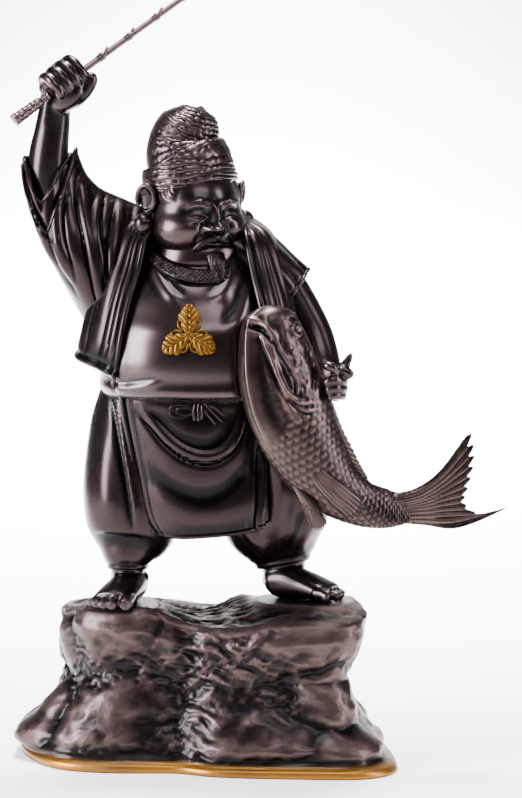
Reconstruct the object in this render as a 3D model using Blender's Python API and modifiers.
"""A cast bronze figure of Ebisu, the fisherman's god, standing on a rock with rod and sea bream.

The pieces are the figure, the sea bream held under its left arm, the rod that passes through its
raised fist, the gilt crest let into its chest, and the rock that it stands on.

X runs to the viewer's right, Y away from the viewer and Z up. The origin is the middle of the
rock's flat underside. Stations on the figure and the fish are in shares of the figure's height,
written so that one share is a millimetre at the nominal height.
"""

import math

import bmesh
import bpy
import numpy as np
from mathutils import Matrix, Vector
from mathutils.bvhtree import BVHTree

# Driving dimensions, in metres.
FIGURE_HEIGHT = 0.229  # from the soles to the top of the cap
ROCK_HEIGHT = 0.074  # from the underside to the seats of the feet
ROCK_WIDTH = 0.184  # across the foot of the rock
ROCK_DEPTH = 0.133
RIM_HEIGHT = 0.0035  # the thin lip round the foot of the rock
ROD_LENGTH = 0.175
ROD_DIAMETER = 0.0034  # just above the fist
ROD_TIP_DIAMETER = 0.0018
GRIP_LENGTH = 0.018
GRIP_DIAMETER = 0.0060
JOINT_SPACING = 0.0165  # between two joints of the bamboo
JOINT_SWELL = 0.0006  # how far a joint stands out from the cane
CREST_WIDTH = 0.0250
CREST_THICKNESS = 0.0018
CREST_PROUD = 0.0010  # how far the crest stands out of the chest
SEAT_CUT = 0.0015  # how much of the rock is cut off flat under the feet
SEAM = 0.0003  # clearance between two castings that meet
ROD_CLEARANCE = 0.0004  # round the rod, inside the fist
FISH_CLEARANCE = 0.0006  # round the fish, where the robe and the arm hold it

SHARES = 229.0  # the figure's height in shares
SHARE = FIGURE_HEIGHT / SHARES
CAST_VOXEL = 1.2  # grid on which the figure's forms are fused, in shares
FIGURE_FACES = 3800  # triangles of the figure once fused and thinned
FISH_VOXEL = 0.6
FISH_FACES = 1500
SOLE_Z = ROCK_HEIGHT + SEAM
ON_ROCK = (0, 0, SOLE_Z)

FULL_TURN = 2 * math.pi


# Surfaces


def spline(rows, s):
    """Values at s, from 0 to 1, on a smooth curve through evenly spaced rows (Catmull-Rom)."""
    rows = np.asarray(rows, float)
    last = len(rows) - 1
    x = np.clip(s, 0, 1) * last
    k = np.minimum(x.astype(int), last - 1)
    f = (x - k)[:, None]
    p = np.vstack([2 * rows[0] - rows[1], rows, 2 * rows[-1] - rows[-2]])
    a, b, c, d = p[k], p[k + 1], p[k + 2], p[k + 3]
    return 0.5 * (
        2 * b + (c - a) * f + (2 * a - 5 * b + 4 * c - d) * f**2 + (3 * b - a - 3 * c + d) * f**3
    )


def bump(x, centre, width):
    """A smooth hill of height 1 at centre."""
    return np.exp(-(((x - centre) / width) ** 2))


def unit(v):
    return v / np.linalg.norm(v, axis=-1, keepdims=True)


def stations(along, blunt):
    """Places along a sweep, closer together over its rounded ends, and how far each is open."""
    first, last = blunt
    n = max(2, along // 6)
    quarter = np.linspace(0, math.pi / 2, n + 1)[1:]
    head = first * (1 - np.cos(quarter))
    tail = 1 - last * (1 - np.cos(quarter))[::-1]
    middle = np.linspace(first, 1 - last, along - 2 * n + 2)[1:-1]
    s = np.concatenate([head, middle, tail])
    near = np.minimum(np.minimum(s / first, (1 - s) / last), 1)
    return s, np.sqrt(1 - (1 - near) ** 2)


def sweep(rows, along=14, around=16, side=(1, 0, 0), power=2.0, relief=None, blunt=(0.12, 0.12)):
    """A closed body of oval sections carried along the path through rows of x, y, z, a and b.

    a is the half-width towards side and b the half-width across it. A relief is a function of the
    place along and of the angle round, which says how far the surface stands out from its oval.
    """
    s, opening = stations(along, blunt)
    at = spline(rows, s)
    ends = spline(rows, np.array([0.0, 1.0]))
    centre = at[:, :3]
    tangent = unit(np.gradient(np.vstack([ends[:1, :3], centre, ends[1:, :3]]), axis=0)[1:-1])
    first = np.asarray(side, float)
    first = unit(first - (tangent @ first)[:, None] * tangent)
    second = np.cross(tangent, first)
    angle = np.linspace(0, FULL_TURN, around, endpoint=False)
    cos, sin = np.cos(angle), np.sin(angle)
    across = np.sign(cos) * np.abs(cos) ** (2 / power)
    up = np.sign(sin) * np.abs(sin) ** (2 / power)
    a = (at[:, 3] * opening)[:, None]
    b = (at[:, 4] * opening)[:, None]
    if relief is not None:
        out = relief(s[:, None], angle[None, :]) * opening[:, None]
        a, b = a + out, b + out
    grid = (
        centre[:, None]
        + first[:, None] * (a * across)[..., None]
        + second[:, None] * (b * up)[..., None]
    )
    return closed_grid(grid, ends[0, :3], ends[1, :3])


def closed_grid(grid, first_pole, last_pole):
    """Vertices and faces of a tube of sections closed by a fan to a pole at each end."""
    n, m = grid.shape[:2]
    verts = np.vstack([grid.reshape(-1, 3), first_pole, last_pole])
    near, far = n * m, n * m + 1
    ring = np.arange(m)
    after = np.roll(ring, -1)
    faces = [(near, int(j), int(i)) for i, j in zip(ring, after)]
    for row in range(n - 1):
        low, high = row * m, (row + 1) * m
        faces += [(low + i, low + j, high + j, high + i) for i, j in zip(ring, after)]
    top = (n - 1) * m
    faces += [(far, int(top + i), int(top + j)) for i, j in zip(ring, after)]
    return verts, faces


def add(mesh, body):
    """Puts a body of vertices and faces into a bmesh."""
    verts, faces = body
    made = [mesh.verts.new(v) for v in verts]
    for face in faces:
        mesh.faces.new([made[int(i)] for i in face])


def shell(mesh, grid, thickness, closed=False, capped=False):
    """An open surface through a grid of points, made solid by an even thickness."""
    n, m = grid.shape[:2]
    verts = [tuple(point) for point in grid.reshape(-1, 3)]
    last = m if closed else m - 1
    faces = [
        (i * m + j, i * m + (j + 1) % m, (i + 1) * m + (j + 1) % m, (i + 1) * m + j)
        for i in range(n - 1)
        for j in range(last)
    ]
    if capped:
        faces.append(tuple(reversed(range(m))))
    data = bpy.data.meshes.new("shell")
    data.from_pydata(verts, [], faces)
    sheet = bpy.data.objects.new("shell", data)
    CUTTERS.objects.link(sheet)
    solidify = sheet.modifiers.new("thickness", "SOLIDIFY")
    solidify.thickness = thickness
    solidify.offset = 0
    graph = bpy.context.evaluated_depsgraph_get()
    solid = bpy.data.meshes.new_from_object(sheet.evaluated_get(graph))
    mesh.from_mesh(solid)
    bpy.data.objects.remove(sheet)


def ball(mesh, centre, radii, turn=(0, 0, 0), segments=14):
    """An egg of three radii, turned by angles in degrees about X, Y and Z."""
    place = Matrix.Translation(centre)
    for axis, degrees in zip("ZYX", reversed(turn)):
        place = place @ Matrix.Rotation(math.radians(degrees), 4, axis)
    place = place @ Matrix.Diagonal((*radii, 1))
    bmesh.ops.create_uvsphere(
        mesh, u_segments=segments, v_segments=segments // 2 + 1, radius=1, matrix=place
    )


def finished(name, mesh, material, location=(0, 0, 0), scale=1.0):
    """Makes an object of a bmesh whose points are in shares of the given size."""
    mesh.transform(Matrix.Scale(scale, 4))
    bmesh.ops.recalc_face_normals(mesh, faces=mesh.faces)
    data = bpy.data.meshes.new(name)
    mesh.to_mesh(data)
    mesh.free()
    obj = bpy.data.objects.new(name, data)
    obj.location = location
    if material is None:
        obj.display_type = "WIRE"
        obj.hide_render = True
        CUTTERS.objects.link(obj)
    else:
        data.materials.append(material)
        STATUE.objects.link(obj)
    return obj


def boolean(obj, other, operation):
    modifier = obj.modifiers.new(f"{operation.lower()}_{other.name}", "BOOLEAN")
    modifier.operation = operation
    modifier.object = other


def bronze(name, colour, roughness):
    material = bpy.data.materials.new(name)
    material.use_nodes = True
    shader = material.node_tree.nodes["Principled BSDF"]
    shader.inputs["Base Color"].default_value = (*colour, 1)
    shader.inputs["Metallic"].default_value = 1.0
    shader.inputs["Roughness"].default_value = roughness
    material.diffuse_color = (*colour, 1)
    return material


# The figure's body and dress


def pleats(count, depth, start=0.0):
    """Folds that run the length of a garment: round backs with sharp valleys between them."""

    def relief(s, angle):
        wave = np.abs(np.sin(count * (angle - start) / 2))
        return depth * (wave - 0.6) * (0.4 + 0.6 * np.sin(math.pi * s))

    return relief


TORSO = [  # the padded undergarment, fullest over the belly
    (-6, 2, 60, 32, 27),
    (-7, 1, 78, 37, 32),
    (-9, -2, 97, 42, 38.5),
    (-10, -3, 112, 44, 41.5),
    (-10, -3, 128, 41.5, 39.5),
    (-9, -1, 144, 36.5, 33.5),
    (-8, 3, 158, 31, 26),
    (-8, 5, 170, 23, 19),
    (-8, 4, 180, 15, 14),
]
LEFT_OF_PICTURE_LEG = [
    (-41, -16, 11, 9.5, 9.5),
    (-40.5, -14, 20, 17, 15),
    (-39, -11, 31, 21.5, 19),
    (-37.5, -9, 46, 23.5, 21.5),
    (-35.5, -6, 62, 25, 23),
    (-32, -2, 80, 26, 25),
    (-27, 0, 98, 24, 26),
]
RIGHT_OF_PICTURE_LEG = [
    (33, -4, 11, 12, 10),
    (31, -3, 20, 19, 15),
    (29, -3, 31, 23.5, 19),
    (27, -3, 46, 26, 22),
    (23, -3, 62, 27.5, 24),
    (17, -1, 80, 28, 25),
    (10, 0, 98, 26, 26),
]


def torso():
    return sweep(TORSO, 18, 28, power=2.2, blunt=(0.08, 0.08))


def trousers(mesh):
    for rows in (LEFT_OF_PICTURE_LEG, RIGHT_OF_PICTURE_LEG):
        add(mesh, sweep(rows, 16, 22, relief=pleats(9, 2.2, 0.4), blunt=(0.04, 0.1)))
    seat = [(-6, 5, 38, 20, 16), (-6, 5, 54, 36, 25), (-7, 3, 76, 44, 31), (-8, 1, 97, 42, 33)]
    add(mesh, sweep(seat, 12, 22, relief=pleats(11, 1.6), blunt=(0.2, 0.1)))


def apron(mesh):
    """The front panel, hung from under the belly, with swags like nested bowls."""
    u = np.linspace(-1, 1, 15)[None, :]
    v = np.linspace(0, 1, 17)[:, None]
    half = 30.5 - 5.0 * v
    x = -9 + 6 * v + half * u
    z = 101 - 68 * v + 2.5 * u**2 * v
    y = -34.5 - 1.0 * v + 9.5 * np.abs(u) ** 3 * (1 - 0.45 * v)
    for centre, depth in ((0.30, 3.6), (0.66, 3.0)):
        sag = v - centre + 0.30 * u**2
        y = y - depth * (bump(sag, 0, 0.11) - 0.75 * bump(sag, 0.14, 0.05)) * (1 - u**2)
    shell(mesh, np.stack([x + 0 * v, y + 1.6, z + 0 * u], axis=-1), 3.2)


def jacket(mesh):
    """The short coat, open down the front, with its hem below the waist."""
    turn = np.radians(np.linspace(-52, 208, 34))[None, :]
    v = np.linspace(0, 1, 13)[:, None]
    rows = [
        (-9, 6, 179, 17, 15),
        (-9, 6, 169, 28, 23.5),
        (-9, 6, 152, 38, 31.5),
        (-10, 5, 134, 44, 35.5),
        (-10, 4, 120, 47, 37.5),
        (-10, 4, 108, 49, 39),
    ]
    at = spline(rows, v[:, 0])[:, None, :]
    fold = 1.5 * np.abs(np.sin(9 * turn)) * v
    x = at[..., 0] + (at[..., 3] - 2 + fold) * np.cos(turn)
    y = at[..., 1] + (at[..., 4] - 2 + fold) * np.sin(turn)
    z = at[..., 2] + 5 * v * np.cos(3 * turn) * 0.3 + 0 * turn
    shell(mesh, np.stack([x, y, z], axis=-1), 4.0)


def lapels(mesh):
    """The coat's two rolled front edges, from the neck down to the hem."""
    picture_left = [
        (-30, -4, 174, 4, 4),
        (-36, -14, 160, 6, 4.5),
        (-40, -24, 142, 6.5, 4.5),
        (-46, -25, 124, 7, 4.5),
        (-54, -14, 112, 8, 4),
    ]
    picture_right = [
        (10, -4, 172, 4, 4),
        (16, -15, 160, 5.5, 4.5),
        (20, -25, 144, 6, 4.5),
        (24, -31, 126, 6, 4.5),
        (27, -32, 108, 6, 4),
    ]
    for rows in (picture_left, picture_right):
        add(mesh, sweep(rows, 12, 14, relief=pleats(5, 1.6), blunt=(0.08, 0.05)))


def collar(mesh):
    """The brocade band round the neckline."""
    angle = np.linspace(math.radians(-200), math.radians(20), 12)
    rows = [
        (-8 + 24 * math.cos(a), 0 + 31 * math.sin(a), 163 + 11.5 * math.sin(a), 2.0, 3.4)
        for a in angle
    ]
    add(mesh, sweep(rows, 20, 10, side=(0, -0.6, -0.4), blunt=(0.03, 0.03), power=3))


def waist_knot(mesh):
    """The cord bow under the belly: two loops to one side and two ends to the other."""
    for lean, reach in ((18, 9.0), (-12, 8.0)):
        a = math.radians(lean)
        for way in (-1, 1):
            tip = (-4 + way * reach * math.cos(a), -41.5, 91 + reach * math.sin(a) * way)
            rows = [(-4, -40, 92, 1.2, 1.2), ((tip[0] - 4) / 2, -41.5, tip[2] / 2 + 46, 2.2, 1.4)]
            rows.append((*tip, 1.4, 1.2))
            add(mesh, sweep(rows, 6, 8, side=(0, 0, 1)))
    ball(mesh, (-4, -41, 92), (2.2, 1.8, 2.2), segments=8)


# Arms, hands and feet


def raised_arm(mesh):
    forearm = [
        (-79, 2, 160, 9, 9),
        (-79, 1, 184, 9.6, 9.4),
        (-77.5, 0, 204, 9.3, 9),
        (-75.3, -1, 218, 8.4, 7.8),
        (-73.5, -2.5, 230, 7.6, 6.6),
    ]
    add(mesh, sweep(forearm, 12, 16))
    sleeve = [
        (-56.5, 0, 126, 2.5, 3.5),
        (-56.5, 0, 139, 12, 9.5),
        (-58, 0, 153, 18, 13.5),
        (-61, 0, 167, 21, 15.5),
        (-66, 0, 179, 19.5, 15.5),
        (-73, 0, 190, 14.5, 14),
    ]
    add(mesh, sweep(sleeve, 14, 24, relief=pleats(9, 2.0, 0.2), blunt=(0.08, 0.05)))
    ball(mesh, (-42, 3, 168), (20, 16, 17), (0, 12, 0))
    sleeve_mouth(mesh, z_low=176, drop=20, radius=13.6)
    sleeve_mouth(mesh, z_low=180, drop=9, radius=11.6)


def sleeve_mouth(mesh, z_low, drop, radius):
    """The open end of a sleeve round the forearm, cut down in front in a deep notch."""
    turn = np.linspace(0, FULL_TURN, 24, endpoint=False)[None, :]
    v = np.linspace(0, 1, 5)[:, None]
    notch = bump(np.cos(turn / 2 + math.radians(58)), 0, 0.24)
    top = 204 + 4.5 * np.cos(turn) - drop * notch
    x = -76 + 4.5 * (1 - v) + (radius - 1 + 1.2 * (1 - v)) * np.cos(turn)
    y = (radius - 0.4) * np.sin(turn) + 0 * v
    z = z_low + (top - z_low) * v
    shell(mesh, np.stack([x, y, z], axis=-1), 2.2, closed=True)


def finger(mesh, points, radius):
    rows = [(*p, radius, radius) for p in points[:-1]]
    rows.append((*points[-1], radius * 0.8, radius * 0.8))
    add(mesh, sweep(rows, 10, 8, side=(0.3, 0.2, 0.93), blunt=(0.1, 0.14)))


FIST = Vector((-68.5, -6.0, 240.0))  # where the rod crosses the palm
ROD_WAY = Vector((0.755, 0.36, 0.548)).normalized()  # from the butt to the tip


def right_fist(mesh):
    """A palm behind the rod, four fingers bent round its front, and the thumb over the top."""
    ball(mesh, FIST + Vector((-1.5, 4.5, -0.5)), (10.5, 6.5, 11.5), (0, 30, 0))
    ball(mesh, (-71.5, -1.5, 231.5), (8.2, 7.2, 7.0))
    out = Vector((0, -1, 0)) - ROD_WAY * Vector((0, -1, 0)).dot(ROD_WAY)
    out.normalize()
    across = ROD_WAY.cross(out)
    for k, radius in enumerate((2.7, 3.0, 3.1, 3.0)):
        middle = FIST + ROD_WAY * (-7.6 + 5.0 * k)
        points = []
        for degrees in (200, 150, 100, 55, 10, -40):
            a = math.radians(degrees)
            reach = 7.4 if degrees > 60 else 5.2
            points.append(middle + across * reach * math.cos(a) * -1 + out * reach * math.sin(a))
        finger(mesh, points, radius)
    thumb = [
        FIST + ROD_WAY * t + across * c + out * o
        for t, c, o in ((-3, 9, -3), (3, 9.5, 0.5), (8, 7.5, 3.5), (11, 3.5, 5.5))
    ]
    finger(mesh, thumb, 3.2)


def lowered_arm(mesh):
    ball(mesh, (19, 5, 157), (17, 15, 17), (0, 30, 0))
    sleeve = [
        (4, 4, 166, 15, 14),
        (17, 3, 158, 15.5, 14.5),
        (27, 0, 150, 14.5, 14),
        (36, -3, 142.5, 14, 12.5),
    ]
    add(mesh, sweep(sleeve, 12, 20, side=(0, 1, 0), relief=pleats(7, 1.5), blunt=(0.1, 0.04)))
    arm = [
        (27, 0, 154, 9, 9),
        (37.5, -3, 139, 9.4, 9.2),
        (46, -7, 123, 9.2, 9),
        (50.5, -14, 109, 8.2, 8),
        (53, -24, 102, 7.2, 6.4),
        (55, -31, 101, 6.6, 5.4),
    ]
    add(mesh, sweep(arm, 14, 14, side=(0, 1, 0)))


def left_hand(mesh):
    """The hand spread over the fish's back, with the forefinger lifted."""
    ball(mesh, (56, -32, 101.5), (6.5, 6.5, 8.5), (0, 15, 0))
    for k in range(3):
        z = 107 - 5.6 * k
        finger(mesh, [(60, -33, z), (62, -39, z - 1), (58, -44, z - 2), (53, -46, z - 3)], 2.7)
    finger(mesh, [(58, -32, 106), (61.5, -34, 110.5), (65.5, -34, 117)], 2.5)


LEFT_OF_PICTURE_FOOT = [
    (-40, -8, 4.6, 7, 6),
    (-40.5, -17, 6.5, 8.4, 8),
    (-42.5, -27, 5.5, 10, 6.5),
    (-45, -36, 3.8, 11.6, 4.8),
    (-46, -42, 2.8, 11.6, 3.6),
]
RIGHT_OF_PICTURE_FOOT = [
    (24, -3, 5, 7.4, 6.5),
    (32, -7, 7.2, 8.4, 8.5),
    (43, -12, 5.8, 9.8, 6.6),
    (52.5, -16.5, 3.9, 11.4, 4.8),
    (58.5, -19.5, 2.8, 11.4, 3.6),
]
TOES = ((0, 0.5, 4.0), (7.0, 2.8, 3.1), (12.0, 2.6, 2.9), (16.2, 1.0, 2.7), (19.8, -1.2, 2.5))


def feet(mesh):
    """Bare feet, with the toes as a row of balls from the great toe outwards."""
    left_across, right_across = Vector((-1, 0.05, 0)), Vector((0.44, 0.9, 0))
    ahead_left, ahead_right = Vector((-0.1, -1, 0)), Vector((0.9, -0.44, 0))
    for rows, side, across, ahead in (
        (LEFT_OF_PICTURE_FOOT, (1, 0, 0), left_across, ahead_left),
        (RIGHT_OF_PICTURE_FOOT, (0.44, 0.9, 0), right_across, ahead_right),
    ):
        add(mesh, sweep(rows, 14, 14, side=side, blunt=(0.12, 0.06)))
        tip = Vector(rows[-1][:3])
        for sideways, forward, radius in TOES:
            centre = tip + across * (sideways - 8.6) + ahead * forward
            ball(mesh, (centre.x, centre.y, radius * 0.95), (radius,) * 3, segments=10)
    ankle = [(-40, -14, 2, 8, 9), (-40.5, -15, 10, 8.6, 8.8), (-41, -16, 18, 10, 9.5)]
    add(mesh, sweep(ankle, 8, 14))
    ankle = [(31, -5, 2, 10, 8.5), (32, -4.5, 10, 10.5, 8.8), (32, -4, 18, 12, 10)]
    add(mesh, sweep(ankle, 8, 14))


# Head and cap


HEAD = Vector((-7.0, -6.0, 179.5))
HEAD_TURN = math.radians(28)  # towards the viewer's right
HEAD_NOD = math.radians(6)


def on_head(x, y, z):
    """A place on the head, given with the face looking towards the viewer."""
    nod = Matrix.Rotation(HEAD_NOD, 3, "X")
    turn = Matrix.Rotation(HEAD_TURN, 3, "Z")
    return HEAD + turn @ (nod @ Vector((x, y, z)))


def head(mesh):
    degrees = (math.degrees(HEAD_NOD), 0, math.degrees(HEAD_TURN))
    ball(mesh, on_head(0, 0, 2), (21, 22, 25), degrees, 26)
    ball(mesh, on_head(0, -5, -10), (18.5, 16, 14), degrees, 20)
    for way in (-1, 1):
        ball(mesh, on_head(9.5 * way, -12.5, -6.5), (8, 8, 7.5), degrees)
        ball(mesh, on_head(7.6 * way, -19, 7), (7.0, 4.2, 2.4), degrees)
        ball(mesh, on_head(3.3 * way, -22.6, -5.2), (2.3, 2.4, 2.0), degrees, 8)
        ball(mesh, on_head(7.8 * way, -18.6, 2.2), (4.0, 3.2, 2.2), degrees, 10)
        ball(mesh, on_head(21.5 * way, 2, 3), (2.6, 5.5, 8.5), degrees, 12)
        ball(mesh, on_head(23 * way, 1, -8.5), (4.3, 4.3, 5.0), degrees, 12)
        ball(mesh, on_head(5 * way, -21.2, -9.4), (5.2, 2.4, 1.7), degrees, 10)
    ball(mesh, on_head(0, -21.5, 0.5), (2.4, 4.2, 7.5), degrees, 10)
    ball(mesh, on_head(0, -23.5, -4.6), (3.3, 3.2, 2.6), degrees, 10)
    ball(mesh, on_head(0, -19.6, -13), (5.0, 2.6, 1.8), degrees, 10)
    ball(mesh, on_head(0, -17.6, -17.8), (6.0, 4.6, 4.0), degrees, 12)
    beard = [(*on_head(0, -18.5, -18), 3.2, 2.4), (*on_head(0, -21, -25), 2.6, 2.0)]
    beard += [(*on_head(0.6, -21, -32), 1.6, 1.4), (*on_head(0, -20, -36), 0.9, 0.9)]
    add(mesh, sweep(beard, 10, 10))


def cap(mesh):
    """The folded court cap: a close band and crown, and the soft peak bent over it."""
    crown = [
        (-9, -1, 186, 23.0, 22.5),
        (-9.7, -1.5, 195, 22.8, 23),
        (-10.3, -1, 202, 21.2, 21.5),
        (-12, 0, 208, 17.5, 18),
        (-13, 0, 213, 12, 12),
    ]
    add(mesh, sweep(crown, 14, 26, blunt=(0.05, 0.2)))
    peak = [
        (-14, 2, 196, 17, 17),
        (-14.5, 2, 204, 15.2, 16),
        (-13, 1.5, 211, 13.4, 14),
        (-9.4, 0, 219, 11.8, 12),
        (-7, -1, 225, 9.4, 10),
        (-6.8, -1.5, 229, 7.6, 8),
    ]
    add(mesh, sweep(peak, 14, 24, blunt=(0.05, 0.22)))
    angle = np.linspace(0, FULL_TURN, 26)
    rows = [
        (-9.5 + 22.0 * math.cos(a), -2 + 22 * math.sin(a), 195 - 2.2 * math.sin(a), 1.6, 2.4)
        for a in angle
    ]
    add(mesh, sweep(rows, 44, 8, side=(0, 0, 1), blunt=(0.02, 0.02)))


# The sea bream

FISH = [  # from the snout to the root of the tail
    (24, -40.5, 140.5, 6, 5),
    (25.5, -41, 133, 12.8, 8.4),
    (28, -41.5, 119, 17.2, 10.8),
    (31, -42, 104, 19.3, 11.8),
    (36.5, -42, 88, 19.8, 11.6),
    (44, -40, 71.5, 17.6, 10.4),
    (54.5, -37, 57, 13.8, 8.4),
    (67, -33.5, 47.5, 9.6, 6),
    (79, -31, 43.5, 7.0, 4.2),
    (89, -29.5, 43, 6.4, 3),
]
FISH_SIDE = (0.74, 0.34, 0.72)  # towards the fish's back


def fish_body():
    return sweep(FISH, 27, 20, side=FISH_SIDE, blunt=(0.07, 0.02))


def fin(mesh, root, tip, rays, depth, thickness):
    """A fan of raised rays between two curves, its edge notched between one ray and the next."""
    v = np.linspace(0, 1, 2 * rays + 1)
    between = np.arange(2 * rays + 1) % 2
    low, high = spline(root, v), spline(tip, v)
    high = high + (low - high) * (between * depth)[:, None]
    w = np.linspace(0, 1, 5)[None, :, None]
    surface = low[:, None] + (high - low)[:, None] * w
    normal = unit(np.cross(np.gradient(surface, axis=0), np.gradient(surface, axis=1)))
    shell(mesh, surface + normal * (0.25 * thickness * (1 - 2 * between))[:, None, None], thickness)


TAIL_ROOT = [(84, -30, 48), (86.5, -30, 46), (87.5, -30, 43), (86.5, -30, 40), (84, -30, 38)]
TAIL_EDGE = [
    (119, -27, 82),
    (119, -27.5, 72),
    (115.5, -28, 61),
    (114, -28.5, 51.5),
    (122, -29, 44.5),
    (136, -29.5, 45.5),
]


def fins():
    """The fish's fins: root, tip, rays, how deep the edge is notched, and thickness."""
    return (
        (TAIL_ROOT, TAIL_EDGE, 7, 0.13, 1.9),
        (
            [(50, -34, 99), (52, -33.5, 86), (57, -33, 73), (65, -32, 60)],
            [(55, -31, 103), (58, -30.5, 88), (63, -30.5, 75), (70, -30.5, 61)],
            7,
            0.25,
            1.9,
        ),
        (
            [(49, -47.5, 66), (51, -48.5, 62), (52, -48.5, 58)],
            [(67, -46, 50), (64, -49, 45), (59, -51, 43)],
            4,
            0.12,
            1.9,
        ),
        (
            [(35, -45, 60), (39, -45.5, 57), (43, -45, 54)],
            [(47, -47, 37), (50, -47, 38), (51, -47, 41)],
            4,
            0.12,
            1.9,
        ),
    )


def fused(obj, voxel, faces):
    """Melts an object's crossing bodies into one skin, then thins it to so many triangles."""
    fuse = obj.modifiers.new("fuse", "REMESH")
    fuse.mode = "VOXEL"
    fuse.voxel_size = voxel * SHARE
    graph = bpy.context.evaluated_depsgraph_get()
    dense = len(obj.evaluated_get(graph).data.polygons)
    thin = obj.modifiers.new("thin", "DECIMATE")
    thin.ratio = faces / (2 * dense)


def whole_fish(name, material):
    mesh = bmesh.new()
    add(mesh, fish_body())
    for shape in fins():
        fin(mesh, *shape)
    fish = finished(name, mesh, material, ON_ROCK, SHARE)
    fused(fish, FISH_VOXEL, FISH_FACES)
    return fish


def fish_pocket():
    """The fish's own shape with clearance all round, taken out of the figure where it is held."""
    pocket = whole_fish("fish_pocket", None)
    grow = pocket.modifiers.new("clearance", "DISPLACE")
    grow.strength = FISH_CLEARANCE
    grow.mid_level = 0
    return pocket


# The rod


def rod_frame():
    """Where the rod crosses the palm, and its direction, in metres."""
    return FIST * SHARE + Vector((0, 0, SOLE_Z)), ROD_WAY


BUTT_TO_FIST = 0.0290  # from the butt's end to the middle of the fist
HANDLE_RINGS = 4
RING_SWELL = 0.0007


def rod_radius(t):
    """The cane's radius at t metres from its butt: a ringed grip, then joints that taper."""
    grip = GRIP_DIAMETER / 2 + RING_SWELL * math.cos(FULL_TURN * HANDLE_RINGS * t / GRIP_LENGTH)
    if t < GRIP_LENGTH:
        return grip
    share = (t - GRIP_LENGTH) / (ROD_LENGTH - GRIP_LENGTH)
    cane = ROD_DIAMETER + (ROD_TIP_DIAMETER - ROD_DIAMETER) * share
    from_joint = abs((t - GRIP_LENGTH + JOINT_SPACING / 2) % JOINT_SPACING - JOINT_SPACING / 2)
    return cane / 2 + JOINT_SWELL * math.exp(-((from_joint / 0.0012) ** 2))


def rod_stops():
    """Lengths at which the profile has a point: rings on the grip, and three at each joint."""
    stops = [GRIP_LENGTH * k / (2 * HANDLE_RINGS) for k in range(2 * HANDLE_RINGS + 1)]
    stops[-1] = GRIP_LENGTH - 0.0002
    joint = GRIP_LENGTH + 0.0006
    while joint < ROD_LENGTH - 0.003:
        stops += [joint, joint + 0.0022, joint + JOINT_SPACING - 0.0028]
        joint += JOINT_SPACING
    return [t for t in stops if t < ROD_LENGTH - 0.001] + [ROD_LENGTH]


def turned(name, stops, radius, material, sides):
    """A round body on the rod's own line: a profile of lengths and radii, turned by a screw."""
    centre, way = rod_frame()
    mesh = bmesh.new()
    profile = [(0, stops[-1])] + [(radius(t), t) for t in reversed(stops)] + [(0, stops[0])]
    points = [mesh.verts.new((r, 0, t)) for r, t in profile]
    for here, there in zip(points, points[1:]):
        mesh.edges.new((here, there))
    obj = finished(name, mesh, material, centre - way * BUTT_TO_FIST)
    obj.rotation_euler = way.to_track_quat("Z", "Y").to_euler()
    turn = obj.modifiers.new("turn", "SCREW")
    turn.steps = turn.render_steps = sides
    turn.use_merge_vertices = True
    turn.merge_threshold = 0.00001
    return obj


def fishing_rod(material):
    return turned("fishing_rod", rod_stops(), rod_radius, material, 10)


def rod_bore():
    """What the rod's way through the fist takes out, wider at the heel of the hand."""

    def radius(t):
        mouth = 0.0014 * max(0.0, 1 - (t - BUTT_TO_FIST + 0.012) / 0.006)
        return ROD_DIAMETER / 2 + JOINT_SWELL + ROD_CLEARANCE + mouth

    stops = [BUTT_TO_FIST + k * 0.003 for k in range(-7, 8)]
    return turned("rod_bore", stops, radius, None, 14)


# The crest


CREST = Vector((-10.5, 0, 128.5))  # the middle of the crest, on the chest
CREST_LEAVES = 3
LEAF_LOBES = 3


def crest_outline(angle):
    """How far the crest reaches at an angle from its upper leaf, as a share of its width.

    Three oak leaves with lobed edges, and a small tendril curled in each gap between them.
    """
    third = FULL_TURN / CREST_LEAVES
    from_leaf = (angle + third / 2) % third - third / 2
    leaf = 0.22 + 0.40 * np.clip(np.cos(from_leaf * 1.5), 0, 1) ** 0.8
    lobes = 0.028 * np.cos(from_leaf / third * FULL_TURN * LEAF_LOBES) * bump(from_leaf, 0, 0.8)
    tendril = 0.17 * bump(np.abs(from_leaf), third / 2, 0.17)
    return leaf + lobes + tendril


def chest_front(x, z):
    """The y of the chest's front at x and z, in shares, found by looking back at the torso."""
    verts, faces = torso()
    skin = BVHTree.FromPolygons([Vector(v) for v in verts], faces)
    hits = [skin.ray_cast(Vector((i, -90, k)), Vector((0, 1, 0)))[0] for i, k in zip(x.flat, z.flat)]
    return np.array([hit.y for hit in hits]).reshape(x.shape)


def crest_plate(name, material, margin):
    """The crest as a plate bent to the chest. A margin makes the pocket it sits in."""
    angle = np.linspace(0, FULL_TURN, 60, endpoint=False)
    rings = np.array([0.06, 0.35, 0.75, 1.0])[:, None]
    out = (crest_outline(angle) * CREST_WIDTH + margin) * rings / SHARE
    x = CREST.x + out * np.sin(angle)
    z = CREST.z + out * np.cos(angle)
    y = chest_front(x, z) - (CREST_PROUD - CREST_THICKNESS / 2) / SHARE
    thickness = (CREST_THICKNESS + 2 * margin) / SHARE
    mesh = bmesh.new()
    shell(mesh, np.stack([x, y, z], axis=-1), thickness, closed=True, capped=True)
    return finished(name, mesh, material, ON_ROCK, SHARE)


# The rock


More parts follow.
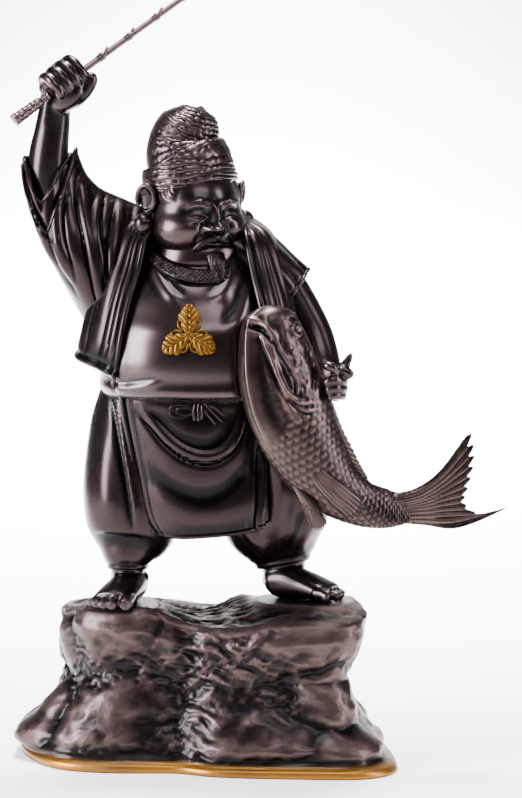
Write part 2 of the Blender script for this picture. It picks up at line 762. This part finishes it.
ROCK_PLAN = [  # corners of the rock's foot, as shares of half its width and half its depth
    (0.925, -0.42),
    (0.88, 0.05),
    (0.86, 0.58),
    (0.60, 0.92),
    (0.12, 1.00),
    (-0.42, 0.95),
    (-0.82, 0.66),
    (-0.98, 0.22),
    (-0.98, -0.22),
    (-0.82, -0.64),
    (-0.56, -0.80),
    (-0.20, -0.82),
    (0.02, -0.94),
    (0.42, -1.00),
    (0.74, -1.00),
    (0.91, -0.80),
]
# How wide the rock is at rising shares of its height, as shares of its foot.
LEVELS = [0.00, 0.05, 0.10, 0.24, 0.40, 0.58, 0.70, 0.85, 0.96, 1.00]
LEFT_WAIST = [1.00, 1.00, 0.96, 0.90, 0.82, 0.78, 0.80, 0.82, 0.80, 0.76]
RIGHT_WAIST = [1.00, 0.97, 0.85, 0.79, 0.76, 0.71, 0.77, 0.80, 0.82, 0.77]
FRONT_WAIST = [1.00, 0.99, 0.86, 0.82, 0.78, 0.72, 0.75, 0.77, 0.74, 0.66]
BACK_WAIST = [1.00, 0.98, 0.86, 0.80, 0.78, 0.74, 0.72, 0.72, 0.69, 0.62]


def rock_plan(angle):
    """The outline of the rock's foot at an angle round its middle, in metres."""
    corners = np.array(ROCK_PLAN + ROCK_PLAN[:3])
    s = np.linspace(1 / (len(corners) - 1), 1 - 2 / (len(corners) - 1), 400)
    loop = spline(corners, s)
    where = np.unwrap(np.arctan2(loop[:, 1], loop[:, 0]))
    reach = np.hypot(loop[:, 0], loop[:, 1])
    turned = where[0] + (angle - where[0]) % FULL_TURN
    far = np.interp(turned, where, reach)
    return far * np.cos(angle) * ROCK_WIDTH / 2, far * np.sin(angle) * ROCK_DEPTH / 2


def rock_section(angle, height):
    """The rock's outline at a height, before its boulders stand out."""
    h = height / ROCK_HEIGHT
    right = 0.5 + 0.5 * np.tanh(3 * np.cos(angle))
    back = 0.5 + 0.5 * np.tanh(3 * np.sin(angle))
    wide = np.interp(h, LEVELS, LEFT_WAIST) * (1 - right) + np.interp(h, LEVELS, RIGHT_WAIST) * right
    deep = np.interp(h, LEVELS, FRONT_WAIST) * (1 - back) + np.interp(h, LEVELS, BACK_WAIST) * back
    x, y = rock_plan(angle)
    return x * wide, y * deep


BOULDERS = [  # bearing in degrees, level, half-width and half-height, as shares of the rock
    (226, 0.82, 0.261, 0.230),
    (258, 0.82, 0.109, 0.203),
    (307, 0.82, 0.250, 0.189),
    (338, 0.74, 0.141, 0.270),
    (186, 0.72, 0.239, 0.270),
    (232, 0.34, 0.239, 0.203),
    (192, 0.16, 0.196, 0.149),
    (270, 0.50, 0.152, 0.162),
    (278, 0.16, 0.239, 0.149),
    (318, 0.42, 0.207, 0.203),
    (322, 0.14, 0.196, 0.122),
    (352, 0.26, 0.163, 0.189),
    (25, 0.80, 0.239, 0.216),
    (28, 0.35, 0.261, 0.243),
    (64, 0.78, 0.217, 0.243),
    (72, 0.30, 0.272, 0.243),
    (102, 0.72, 0.228, 0.216),
    (112, 0.22, 0.217, 0.176),
    (140, 0.80, 0.217, 0.203),
    (148, 0.36, 0.250, 0.270),
    (168, 0.62, 0.152, 0.189),
]
BOULDER_DEPTH = 0.0058
MEAN_REACH = 0.674  # the rock's mean distance from its middle, as a share of half its width


def boulder_relief(angle, height):
    """How far the boulders stand out: the highest of the domes here, with creases between."""
    best = np.full(np.broadcast(angle, height).shape, -1.0)
    for bearing, share, wide, tall in BOULDERS:
        apart = (angle - math.radians(bearing) + math.pi) % FULL_TURN - math.pi
        along = apart * MEAN_REACH / wide
        up = (height / ROCK_HEIGHT - share) / tall
        best = np.maximum(best, 1 - (along**2 + up**2) ** 1.4)
    return BOULDER_DEPTH * (best - 0.35)


LEFT_SEAT = (-43, -26, 20, 26)  # middle and half-sizes under each foot, in the figure's shares
RIGHT_SEAT = (43, -12, 28, 22)
SADDLE_DROP = 0.0040  # how far the rock's top lies below the seats
SADDLE_DIP = 0.0045  # and further down between the feet
BACK_FALL = 0.09  # slope of the top towards the back
KNOB = 0.0050


def rock_top(x, y):
    """The height of the rock's top: seats for the feet, and a saddle between them."""
    x, y = x / SHARE, y / SHARE
    seats = sum(bump(x, cx, a) * bump(y, cy, b) for cx, cy, a, b in (LEFT_SEAT, RIGHT_SEAT))
    fall = BACK_FALL * SHARE * np.clip(y - 8, 0, None)
    low = ROCK_HEIGHT - SADDLE_DROP - SADDLE_DIP * bump(x, 2, 28) - fall
    knob = KNOB * bump(x, 11, 9) * bump(y, 10, 12)
    return low + (ROCK_HEIGHT + SEAT_CUT - low) * np.clip(1.7 * seats, 0, 1) + knob


def rock_base(material):
    around, over_top = 64, 6
    angle = np.linspace(0, FULL_TURN, around, endpoint=False)
    shares = [0, RIM_HEIGHT / ROCK_HEIGHT, 0.10, 0.16, 0.24, 0.32, 0.42, 0.52, 0.62, 0.72, 0.82, 0.91, 0.97]
    edge_x, edge_y = rock_section(angle, ROCK_HEIGHT)
    edge_z = rock_top(edge_x, edge_y)
    rows = []
    for share in shares:
        x, y = rock_section(angle, share * ROCK_HEIGHT)
        out = boulder_relief(angle, share * ROCK_HEIGHT)
        out = out * np.interp(share, [0.05, 0.14, 0.9, 1], [0, 1, 1, 0.3])
        grow = 1 + out / np.hypot(x, y)
        rows.append(np.stack([x * grow, y * grow, share * edge_z], axis=-1))
    for share in np.linspace(1, 0, over_top + 1)[:-1]:
        x, y = edge_x * share, edge_y * share
        rows.append(np.stack([x, y, rock_top(x, y) + 0.0012 * (1 - share)], axis=-1))
    mesh = bmesh.new()
    add(mesh, closed_grid(np.array(rows), (0, 0, 0), (0, 0, float(rock_top(0.0, 0.0)) + 0.0012)))
    rock = finished("rock_base", mesh, material)
    boolean(rock, seat_plane(), "DIFFERENCE")
    return rock


def block(name, low, high):
    """A block as wide as the statue, between two heights, that flattens what it cuts."""
    mesh = bmesh.new()
    place = Matrix.Translation((0, 0, (low + high) / 2)) @ Matrix.Diagonal((0.3, 0.2, high - low, 1))
    bmesh.ops.create_cube(mesh, size=1, matrix=place)
    return finished(name, mesh, None)


def seat_plane():
    """Everything above the seats of the feet, which leaves them flat where the rock rises."""
    return block("seat_plane", ROCK_HEIGHT, ROCK_HEIGHT + 0.04)


# The whole statue


def sole_plane():
    """Everything under the soles, which the figure's feet are cut off flat by."""
    return block("sole_plane", SOLE_Z - 0.04, SOLE_Z)


def figure(material):
    mesh = bmesh.new()
    add(mesh, torso())
    for form in (
        trousers,
        apron,
        jacket,
        lapels,
        collar,
        waist_knot,
        raised_arm,
        right_fist,
        lowered_arm,
        left_hand,
        feet,
        head,
        cap,
    ):
        form(mesh)
    statue = finished("figure", mesh, material, ON_ROCK, SHARE)
    fused(statue, CAST_VOXEL, FIGURE_FACES)
    return statue


def clear_scene():
    for obj in list(bpy.data.objects):
        bpy.data.objects.remove(obj)


def collection(name):
    made = bpy.data.collections.new(name)
    bpy.context.scene.collection.children.link(made)
    return made


clear_scene()
STATUE = collection("ebisu_figure")
CUTTERS = collection("cutters")
dark_patina = bronze("dark_patina", (0.045, 0.032, 0.028), 0.32)
gilding = bronze("gilding", (0.72, 0.45, 0.11), 0.3)
rock_base(dark_patina)
ebisu = figure(dark_patina)
whole_fish("sea_bream", dark_patina)
fishing_rod(dark_patina)
crest_plate("chest_crest", gilding, 0.0)
for cutter in (sole_plane(), fish_pocket(), rod_bore(), crest_plate("crest_pocket", None, SEAM)):
    boolean(ebisu, cutter, "DIFFERENCE")
